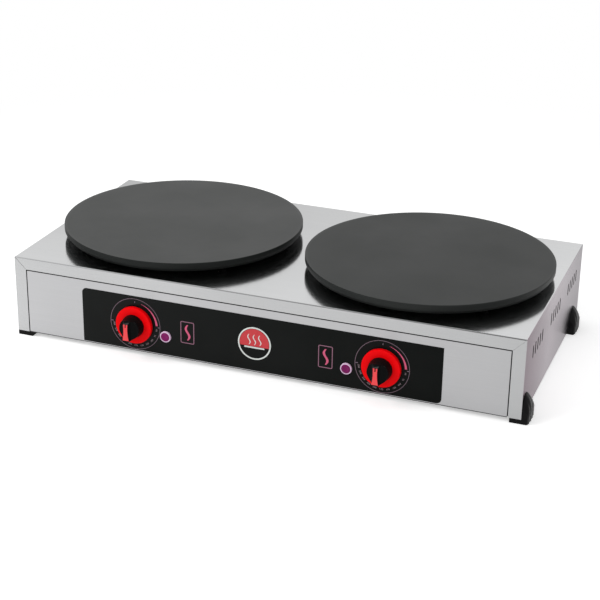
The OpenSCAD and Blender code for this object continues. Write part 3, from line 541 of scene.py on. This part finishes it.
def circle(count, twist=0.0):
    """Evenly spaced directions all the way round, as (x, y)."""
    angles = [2 * math.pi * (i + twist) / count for i in range(count)]
    return [(math.cos(a), math.sin(a)) for a in angles]


def lathe(profile, steps, place):
    """Turns a closed profile of (radius, height) points into a ring or a disc; place sets it in the frame."""
    mesh = bmesh.new()
    rings = []
    for radius, height in profile:
        on_axis = radius == 0
        rings.append([mesh.verts.new(place @ Vector((radius * x, radius * y, height)))
                      for x, y in circle(1 if on_axis else steps)])
    for low, high in zip(rings, rings[1:] + rings[:1]):
        for i in range(steps):
            j = (i + 1) % steps
            corners = [low[i % len(low)], low[j % len(low)], high[j % len(high)], high[i % len(high)]]
            corners = list(dict.fromkeys(corners))
            if len(corners) > 2:
                mesh.faces.new(corners)
    return mesh


def arc(centre, radius, start, end, steps):
    """Points on a round stretch, from one angle to the other, in degrees."""
    turn = [math.radians(start + (end - start) * i / steps) for i in range(steps + 1)]
    return [(centre[0] + radius * math.cos(a), centre[1] + radius * math.sin(a)) for a in turn]


def slab(mesh, outline, low, high, place):
    """A prism between two heights over a flat outline of (x, y) points."""
    bottom, top = [[mesh.verts.new(place @ Vector((x, y, z))) for x, y in outline] for z in (low, high)]
    close_between(mesh, bottom, top)
    mesh.faces.new(top)
    mesh.faces.new(bottom[::-1])


def band(mesh, inner, outer, low, high, place, closed=True):
    """A strip between two outlines with as many points each, as thick as the two heights are apart."""
    rows = [[mesh.verts.new(place @ Vector((x, y, z))) for x, y in line]
            for line, z in ((inner, low), (outer, low), (outer, high), (inner, high))]
    count = len(inner)
    for i in range(count if closed else count - 1):
        j = (i + 1) % count
        for first, second in zip(rows, rows[1:] + rows[:1]):
            mesh.faces.new((first[i], first[j], second[j], second[i]))
    if not closed:
        mesh.faces.new([row[0] for row in rows])
        mesh.faces.new([row[-1] for row in rows][::-1])


def middle(node):
    low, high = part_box(node)
    return (low + high) / 2


# ---- Griddle plates ----

# The light falls off to the right, so the right plate's face is duller and its rim brighter
IRON_GLOSS = {"left": 0.49, "right": 0.28}
RIM_GLOSS = {"left": 0.1, "right": 0.17}


def add_plate(side):
    """A turned plate: crowned edge bevel, upright rim and a lower edge that tapers in."""
    node = f"griddle_plate_{side}"
    low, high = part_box(node)
    centre = (low + high) / 2
    radius = (high.x - low.x) / 2
    thick = high.z - low.z
    edge, taper_w, taper_h = 0.8 * MM, 5.5 * MM, 5.6 * MM
    profile = [(0, 0), (radius - taper_w, 0), (radius - edge, taper_h), (radius, taper_h + 1.2 * MM)]
    profile += arc((radius - edge, thick - edge), edge, 0, 90, 5)
    profile += [(radius * share, thick) for share in (0.97, 0.75, 0.5, 0.25)] + [(0, thick)]
    place = Matrix.Translation((centre.x, centre.y, low.z))
    mesh = lathe(profile, 256, place)
    iron = turned_iron(f"turned_iron_{side}", (centre.x, centre.y), radius, IRON_GLOSS[side], RIM_GLOSS[side])
    piece = add_piece(f"plate_{side}", mesh, iron, "cabinet", 50.0)
    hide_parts(node)


for side in SIDES:
    add_plate(side)


# ---- Right-hand feet ----

# Millimetres. The shield's upright face ends at FACE_H in the middle, and its shoulder leans back from there
SHIELD_OUT = 12.0
FACE_H, FACE_FALL = 21.0, 6.5
SHOULDER_OUT, SHOULDER_SWELL = 2.0, 1.7
CREST_OUT, CREST_DROP = 1.2, 0.4
END_TUCK, END_FALL = 1.8, 0.42
SOLE_BEVEL = 0.9
FLUTE_STEP, FLUTE_DEPTH = 10.5, 1.0
SHIELD_STEPS = 84


def shield_section(along, half_l, top):
    """The shield's section at a distance from the foot's middle, as (out, up) points from the wall round."""
    share = abs(along) / half_l
    flute = FLUTE_DEPTH * (1 - abs(math.sin(math.pi * (along + half_l) / FLUTE_STEP)))
    out = SHIELD_OUT - flute - END_TUCK * share ** 3
    face = FACE_H - FACE_FALL * share ** 2
    wall = (top - 0.2 * flute) * (1 - END_FALL * share ** 2.6)
    section = [(0, 0), (out - SOLE_BEVEL, 0), (out, SOLE_BEVEL), (out, 0.6 * face), (out, face)]
    for climb in (0.2, 0.4, 0.6, 0.8, 0.93):
        swell = SHOULDER_SWELL * math.sin(math.pi * climb) * (1 - 0.5 * share)
        section.append((out + (SHOULDER_OUT - out) * climb + swell,
                        face + (wall - CREST_DROP - face) * climb + swell))
    return section + [(CREST_OUT, wall), (0, wall)]


def add_shield_foot(end):
    """A foot's sole and its domed shield, which has upright flutes and a rounded shoulder."""
    node = f"foot_{end}_right"
    low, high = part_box(node)
    wall_x = high.x - SHIELD_OUT * MM
    half_l = (high.y - low.y) / 2 / MM
    mesh = bmesh.new()
    rings = []
    for i in range(SHIELD_STEPS + 1):
        along = half_l * (2 * i / SHIELD_STEPS - 1)
        y = (low.y + high.y) / 2 + along * MM
        rings.append([mesh.verts.new(Vector((wall_x + out * MM, y, min(up * MM, high.z))))
                      for out, up in shield_section(along, half_l, high.z / MM)])
    for first, second in zip(rings, rings[1:]):
        close_between(mesh, first, second)
    mesh.faces.new(rings[0])
    mesh.faces.new(rings[-1][::-1])
    sole_x = wall_x - 0.02 * MM
    sole = [(low.x, low.y), (sole_x, low.y), (sole_x, high.y), (low.x, high.y)]
    slab(mesh, sole, 0.0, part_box("casing")[0].z, Matrix.Identity(4))
    piece = add_piece(f"foot_{end}", mesh, FOOT_PLASTIC, "cabinet", 28.0)
    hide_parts(node)


for end in ("front", "rear"):
    add_shield_foot(end)


# ---- Knobs ----

LABEL_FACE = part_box("control_label")[0].y
DIAL = {side: middle(f"knob_skirt_{side}") for side in SIDES}
TO_FRONT = Matrix.Rotation(math.pi / 2, 4, "X")
SKIRT_LOW, SKIRT_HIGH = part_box("knob_skirt_left")
SKIRT_R = (SKIRT_HIGH.x - SKIRT_LOW.x) / 2
SKIRT_BACK = LABEL_FACE - SKIRT_HIGH.y
SKIRT_FRONT = LABEL_FACE - SKIRT_LOW.y
KNOB_TOP = LABEL_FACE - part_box("knob_pointer_left")[0].y
# The scoops that shape the grip's bar and its inlay
BAR_SCOOP_R, BAR_WAIST_UP = 85 * MM, 4 * MM


def on_label(x, z):
    """Local x to the right, y up and z out of the label, from a point of the front."""
    return Matrix.Translation((x, LABEL_FACE, z)) @ TO_FRONT


def on_dial(side):
    return on_label(DIAL[side].x, DIAL[side].z)


def add_skirt(side):
    """The red disc: a hollow cap with a rounded rim and a well for the grip."""
    node = f"knob_skirt_{side}"
    bevel, lip, back_bevel, wall = 1.4 * MM, 0.8 * MM, 0.4 * MM, 3.0 * MM
    hub_r, well_r = 15.2 * MM, 18.4 * MM
    profile = [(hub_r, SKIRT_FRONT - wall), (SKIRT_R - wall, SKIRT_FRONT - wall),
               (SKIRT_R - wall, SKIRT_BACK), (SKIRT_R - back_bevel, SKIRT_BACK),
               (SKIRT_R, SKIRT_BACK + back_bevel)]
    profile += arc((SKIRT_R - bevel, SKIRT_FRONT - bevel), bevel, 0, 90, 6)
    profile += arc((well_r + lip, SKIRT_FRONT - lip), lip, 90, 170, 4)
    profile += [(well_r - 0.6 * MM, SKIRT_FRONT - 1.6 * MM), (hub_r, SKIRT_FRONT - 1.8 * MM)]
    mesh = lathe(profile, 128, on_dial(side))
    piece = add_piece(f"skirt_{side}", mesh, KNOB_RED, f"{side}_knob")
    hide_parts(node)


def grip_outline(grip_r, half_waist, scoop_r, waist_up, round_steps=10, scoop_steps=24):
    """The grip seen from the front: a disc with a wide scoop on each side, as points turning left."""
    centre_x = scoop_r + half_waist
    gap = math.hypot(centre_x, waist_up)
    tilt = math.degrees(math.atan2(waist_up, centre_x))
    half_cut = math.degrees(math.acos((grip_r ** 2 + gap ** 2 - scoop_r ** 2) / (2 * grip_r * gap)))
    half_scoop = math.degrees(math.acos((scoop_r ** 2 + gap ** 2 - grip_r ** 2) / (2 * scoop_r * gap)))
    top = arc((0, 0), grip_r, tilt + half_cut, 180 - tilt - half_cut, round_steps)
    left = arc((-centre_x, waist_up), scoop_r, -tilt + half_scoop, -tilt - half_scoop, scoop_steps)
    bottom = arc((0, 0), grip_r, 180 - tilt + half_cut, 360 + tilt - half_cut, round_steps)
    right = arc((centre_x, waist_up), scoop_r, 180 + tilt + half_scoop, 180 + tilt - half_scoop, scoop_steps)
    return top[:-1] + left[:-1] + bottom[:-1] + right[:-1]


def loft(layers, place):
    """A closed shell through outlines of equal length, given as (outline, height) from the bottom up."""
    mesh = bmesh.new()
    rings = [[mesh.verts.new(place @ Vector((x, y, z))) for x, y in outline] for outline, z in layers]
    for low, high in zip(rings, rings[1:]):
        close_between(mesh, low, high)
    mesh.faces.new(rings[0][::-1])
    mesh.faces.new(rings[-1])
    return mesh


def cut(mesh, place, point, direction):
    """Cuts off what lies past a plane and closes the cut."""
    normal = (place.to_3x3() @ Vector(direction)).normalized()
    result = bmesh.ops.bisect_plane(mesh, geom=mesh.verts[:] + mesh.edges[:] + mesh.faces[:], dist=1e-7,
                                    plane_co=place @ Vector(point), plane_no=normal, clear_outer=True)
    rim = [e for e in result["geom_cut"] if isinstance(e, bmesh.types.BMEdge)]
    bmesh.ops.contextual_create(mesh, geom=rim)


def add_knob(side):
    """The black grip: a round body that runs up into a bar, with a slanted end for the thumb."""
    node = f"knob_{side}"
    place = on_dial(side)
    base_r, body_r, bore_r = 19.0 * MM, 17.2 * MM, 14.6 * MM
    step_h, body_top, edge = 4.0 * MM, 24.0 * MM, 1.0 * MM
    bar_top = KNOB_TOP - 0.8 * MM
    profile = [(0, step_h), (bore_r, step_h), (bore_r, SKIRT_FRONT), (base_r, SKIRT_FRONT),
               (base_r, SKIRT_FRONT + step_h), (body_r, body_top - edge)]
    profile += arc((body_r - edge, body_top - edge), edge, 0, 90, 5)[1:]
    profile += [(0, body_top)]
    body = lathe(profile, 96, place)
    # Reach, half waist, scoop radius, height of the waist and rise above the body, in millimetres
    flank = [(17.2, 9.8, 75, 8, -2.0), (17.2, 9.8, 75, 8, 0.1), (17.1, 7.6, 75, 7, 1.0),
             (17.0, 5.8, 78, 6, 2.4), (16.9, 4.6, 80, 5, 4.8), (16.8, 3.9, 84, 4, 8.0),
             (16.7, 3.6, 85, 4, 10.6)]
    layers = [(grip_outline(reach * MM, waist * MM, scoop * MM, up * MM), body_top + rise * MM)
              for reach, waist, scoop, up, rise in flank]
    layers.append((grip_outline(16.5 * MM, 3.4 * MM, BAR_SCOOP_R, BAR_WAIST_UP), bar_top))
    grip = loft(layers, place)
    slant = math.radians(61)
    cut(grip, place, (0, 13.4 * MM, bar_top), (0, math.sin(slant), math.cos(slant)))
    spare = bpy.data.meshes.new("spare")
    grip.to_mesh(spare)
    grip.free()
    body.from_mesh(spare)
    bpy.data.meshes.remove(spare)
    piece = add_piece(f"grip_{side}", body, KNOB_BLACK, f"{side}_knob", 32.0)
    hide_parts(node)


def add_pointer(side):
    """The red inlay on the grip, with a narrow notch at its upper end."""
    node = f"knob_pointer_{side}"
    place = on_dial(side)
    low_y, high_y = -15.2 * MM, 13.0 * MM
    notch_half, notch_y = 0.9 * MM, 7.5 * MM
    bar = grip_outline(17.0 * MM, 3.3 * MM, BAR_SCOOP_R, BAR_WAIST_UP, 10, 40)
    right_side = sorted([(x, y) for x, y in bar if x > 0 and low_y < y < high_y], key=lambda point: point[1])
    right_side += [(right_side[-1][0], high_y), (notch_half, high_y), (notch_half, notch_y)]
    points = right_side + [(-x, y) for x, y in reversed(right_side)]
    mesh = bmesh.new()
    slab(mesh, points, KNOB_TOP - 1.0 * MM, KNOB_TOP - 0.05 * MM, place)
    piece = add_piece(f"inlay_{side}", mesh, POINTER_RED, f"{side}_knob", 30.0)
    bevel = piece.modifiers.new("bevel", "BEVEL")
    bevel.width = 0.25 * MM
    bevel.segments = 2
    bevel.limit_method = "ANGLE"
    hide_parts(node)


for side in SIDES:
    add_skirt(side)
    add_knob(side)
    add_pointer(side)


# ---- Pilot lamps ----

def add_lens(side):
    """A lens cut like a jewel: a flat middle, then two rings of facets that lean different ways."""
    node = f"lamp_lens_{side}"
    low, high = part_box(node)
    centre = (low + high) / 2
    place = on_label(centre.x, centre.z)
    radius = (high.x - low.x) / 2
    proud = LABEL_FACE - low.y
    mesh = bmesh.new()
    facets = 8
    rings = []
    # Share of the radius, share of the height and turn, in facets, of each ring from the back
    for share, depth, twist in ((1.0, 0.0, 0.0), (1.0, 0.82, 0.0), (0.62, 0.98, 0.5), (0.30, 0.72, 0.0)):
        reach, height = radius * share, max(0.02 * MM, proud * depth)
        rings.append([mesh.verts.new(place @ Vector((reach * x, reach * y, height)))
                      for x, y in circle(facets, twist)])
    for i in range(facets):
        j = (i + 1) % facets
        mesh.faces.new((rings[0][i], rings[0][j], rings[1][j], rings[1][i]))
        mesh.faces.new((rings[1][i], rings[1][j], rings[2][i]))
        mesh.faces.new((rings[2][i], rings[1][j], rings[2][j]))
        mesh.faces.new((rings[2][i], rings[2][j], rings[3][j]))
        mesh.faces.new((rings[3][i], rings[2][i], rings[3][j]))
    mesh.faces.new(rings[3])
    mesh.faces.new(rings[0][::-1])
    piece = add_piece(f"lens_{side}", mesh, LENS, "cabinet", 1.0)
    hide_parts(node)


for side in SIDES:
    add_lens(side)


# ---- Printing on the label ----

INK_LOW, INK_HIGH = 0.01 * MM, 0.05 * MM
# How much higher a second ink lies on the first
INK_RAISED = 0.05 * MM
RING_R, RING_W = 43.3 * MM, 0.9 * MM
# The crescent that widens clockwise, and its two angles
CRESCENT_R, CRESCENT_ENDS = 37.6 * MM, (17, 86)
CRESCENT_START_W, CRESCENT_END_W = 0.3 * MM, 3.6 * MM
# Angle, inner and outer radius and width of the marks at off, at the first and at the last number
MARKS = ((0, 36.6, 39.2, 0.9), (90, 39.6, 44.0, 1.0), (270, 38.4, 42.6, 1.0))
NUMBERS = range(50, 301, 25)
NUMBER_R = 37.6 * MM
NUMBER_START, NUMBER_TURN = 98, 16.4
DIGIT_H = 2.6 * MM
DIGIT_SHARE = 0.7


def clockwise(angle):
    """Direction on the dial, in degrees clockwise from the top, as (x, y)."""
    return math.sin(math.radians(angle)), math.cos(math.radians(angle))


def ring_band(mesh, radius, width, start, end, place, end_width=None):
    """An arc of ink from one clockwise angle to another; it may widen towards its end."""
    closed = end - start >= 360
    steps = max(8, int((end - start) / 3))
    inner, outer = [], []
    for i in range(steps if closed else steps + 1):
        share = i / steps
        x, y = clockwise(start + (end - start) * share)
        half = (width + ((end_width or width) - width) * share) / 2
        inner.append((x * (radius - half), y * (radius - half)))
        outer.append((x * (radius + half), y * (radius + half)))
    band(mesh, inner, outer, INK_LOW, INK_HIGH, place, closed)


def radial_tick(mesh, angle, inner_r, outer_r, width, place):
    """A straight mark that points at the dial's centre."""
    x, y = clockwise(angle)
    side_x, side_y = y * width / 2, -x * width / 2
    slab(mesh, [(x * inner_r - side_x, y * inner_r - side_y), (x * inner_r + side_x, y * inner_r + side_y),
                (x * outer_r + side_x, y * outer_r + side_y), (x * outer_r - side_x, y * outer_r - side_y)],
         INK_LOW, INK_HIGH, place)


def add_number(mesh, text, angle, place):
    """A plain number on the dial, read with its foot towards the dial's centre."""
    data = bpy.data.curves.new("number", "FONT")
    data.body = text
    data.size = DIGIT_H / DIGIT_SHARE
    data.align_x, data.align_y = "CENTER", "CENTER"
    data.extrude = (INK_HIGH - INK_LOW) / 2
    data.offset = 0.06 * MM
    data.space_character = 1.15
    data.resolution_u = 3
    letters = bpy.data.objects.new("number", data)
    bpy.context.scene.collection.objects.link(letters)
    shape = letters.evaluated_get(bpy.context.evaluated_depsgraph_get()).to_mesh()
    x, y = clockwise(angle)
    upside = 180.0 if 90 < angle < 270 else 0.0
    turn = Matrix.Rotation(-math.radians(angle + upside), 4, "Z")
    spot = Matrix.Translation((x * NUMBER_R, y * NUMBER_R, (INK_LOW + INK_HIGH) / 2))
    shape.transform(place @ spot @ turn)
    mesh.from_mesh(shape)
    letters.to_mesh_clear()
    bpy.data.objects.remove(letters)


def print_piece(name, mesh, ink):
    """Adds a piece of ink to the cabinet."""
    add_piece(name, mesh, ink, "cabinet")


def add_dial_print(side):
    """A dial's outer ring, its widening crescent, its marks and its numbers."""
    place = on_dial(side)
    ring, crescent, marks, figures = [bmesh.new() for _ in range(4)]
    ring_band(ring, RING_R, RING_W, 0, 360, place)
    print_piece(f"dial_ring_{side}", ring, INK_RING)
    ring_band(crescent, CRESCENT_R, CRESCENT_START_W, *CRESCENT_ENDS, place, CRESCENT_END_W)
    print_piece(f"dial_crescent_{side}", crescent, INK_PINK)
    for angle, inner_r, outer_r, width in MARKS:
        radial_tick(marks, angle, inner_r * MM, outer_r * MM, width * MM, place)
    print_piece(f"dial_marks_{side}", marks, INK_MARK)
    for i, number in enumerate(NUMBERS):
        add_number(figures, str(number), NUMBER_START + i * NUMBER_TURN, place)
    print_piece(f"dial_numbers_{side}", figures, INK_NUMBER)


def rounded_outline(width, height, radius, steps=6):
    """A rectangle with round corners."""
    points = []
    for x, y, start in ((1, 1, 0), (-1, 1, 90), (-1, -1, 180), (1, -1, 270)):
        points += arc((x * (width / 2 - radius), y * (height / 2 - radius)), radius, start, start + 90, steps)
    return points


def frame_line(mesh, width, height, radius, line, place):
    """A rounded frame drawn with a line of this width."""
    band(mesh, rounded_outline(width - 2 * line, height - 2 * line, radius - line),
         rounded_outline(width, height, radius), INK_LOW, INK_HIGH, place)


CABINET_MIDDLE_X = middle("casing").x
CABINET_LOW_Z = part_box("casing")[0].z
ICON_X = {"left": -117.0 * MM, "right": 114.2 * MM}
ICON_Z = 47.4 * MM
ICON_W, ICON_H = 23.5 * MM, 37.5 * MM
ROUNDEL_X, ROUNDEL_Z = -3 * MM, 49 * MM
ROUNDEL_R, ROUNDEL_RIM_W = 26.4 * MM, 2.4 * MM
WISP_STEPS = 28


def wisp(mesh, x, low_y, high_y, sway, width, height, place):
    """A wave of steam that tapers to both ends."""
    left, right = [], []
    for i in range(WISP_STEPS + 1):
        share = i / WISP_STEPS
        middle_x = x + sway * math.sin(2 * math.pi * share)
        half = width / 2 * math.sin(math.pi * (0.12 + 0.76 * share)) ** 0.6
        y = low_y + (high_y - low_y) * share
        left.append((middle_x - half, y))
        right.append((middle_x + half, y))
    band(mesh, left, right, INK_LOW + height, INK_HIGH + height, place, closed=False)


def add_heat_icon(side):
    """A generic sign for heat, one wisp of steam in a rounded frame."""
    place = on_label(CABINET_MIDDLE_X + ICON_X[side], CABINET_LOW_Z + ICON_Z)
    outline, glyph = bmesh.new(), bmesh.new()
    frame_line(outline, ICON_W, ICON_H, 2.5 * MM, 1.3 * MM, place)
    print_piece(f"icon_frame_{side}", outline, INK_FRAME)
    wisp(glyph, 0.4 * MM, -13.2 * MM, 13.2 * MM, 3.0 * MM, 4.2 * MM, 0.0, place)
    print_piece(f"icon_glyph_{side}", glyph, INK_PINK)


def add_roundel():
    """A generic round mark in the middle of the label: three wisps of steam over a hot plate."""
    place = on_label(CABINET_MIDDLE_X + ROUNDEL_X, CABINET_LOW_Z + ROUNDEL_Z)
    line, field = bmesh.new(), bmesh.new()
    ring_band(line, ROUNDEL_R, ROUNDEL_RIM_W, 0, 360, place)
    slab(line, rounded_outline(34 * MM, 2.6 * MM, 1.2 * MM), INK_LOW + INK_RAISED, INK_HIGH + INK_RAISED,
         place @ Matrix.Translation((0, -7 * MM, 0)))
    for x in (-9, 0, 9):
        wisp(line, x * MM, -2.5 * MM, 15.0 * MM, 2.0 * MM, 1.8 * MM, INK_RAISED, place)
    print_piece("roundel_line", line, INK_WHITE)
    slab(field, arc((0, 0), 24.6 * MM, -12, 192, 60), INK_LOW, INK_HIGH, place)
    print_piece("roundel_field", field, INK_RED)


for side in SIDES:
    add_dial_print(side)
    add_heat_icon(side)
add_roundel()


# ---- View ----

bpy.context.scene.view_settings.view_transform = "Standard"
